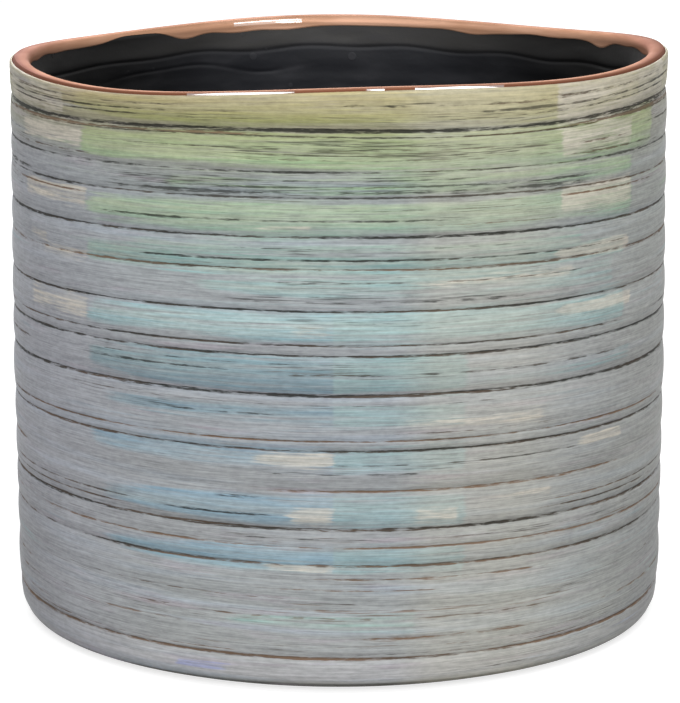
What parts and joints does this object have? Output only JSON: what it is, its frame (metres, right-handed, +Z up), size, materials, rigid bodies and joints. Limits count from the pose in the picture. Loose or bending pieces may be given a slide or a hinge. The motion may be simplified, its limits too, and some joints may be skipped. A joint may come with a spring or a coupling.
{
  "type": "cachepot",
  "caption": "Round stoneware cachepot with a turned, grooved wall in streaked pearl glaze, an uneven copper lip and a black watertight inside; hides a nursery pot.",
  "frame": {"origin": "middle of the foot ring, on the ground", "axes": "+Z up along the pot's axis out of its mouth; -Y is the front that the picture shows"},
  "size_m": [0.19, 0.19, 0.1657],
  "materials": {
    "bare_stoneware": "fired clay, matt and slightly gritty, bare only on the foot and underside",
    "copper_lustre": "copper lustre, glossy, brushed",
    "pearl_glaze": "pearl glaze, glossy, streaked round the pot from yellow-green at the top through blue to lilac grey",
    "black_glaze": "black glaze, satin"
  },
  "bodies": {
    "root": {"clay_body": "bare_stoneware", "copper_coat": "copper_lustre", "pearl_glaze": "pearl_glaze", "inner_glaze": "black_glaze"}
  },
  "joints": []
}
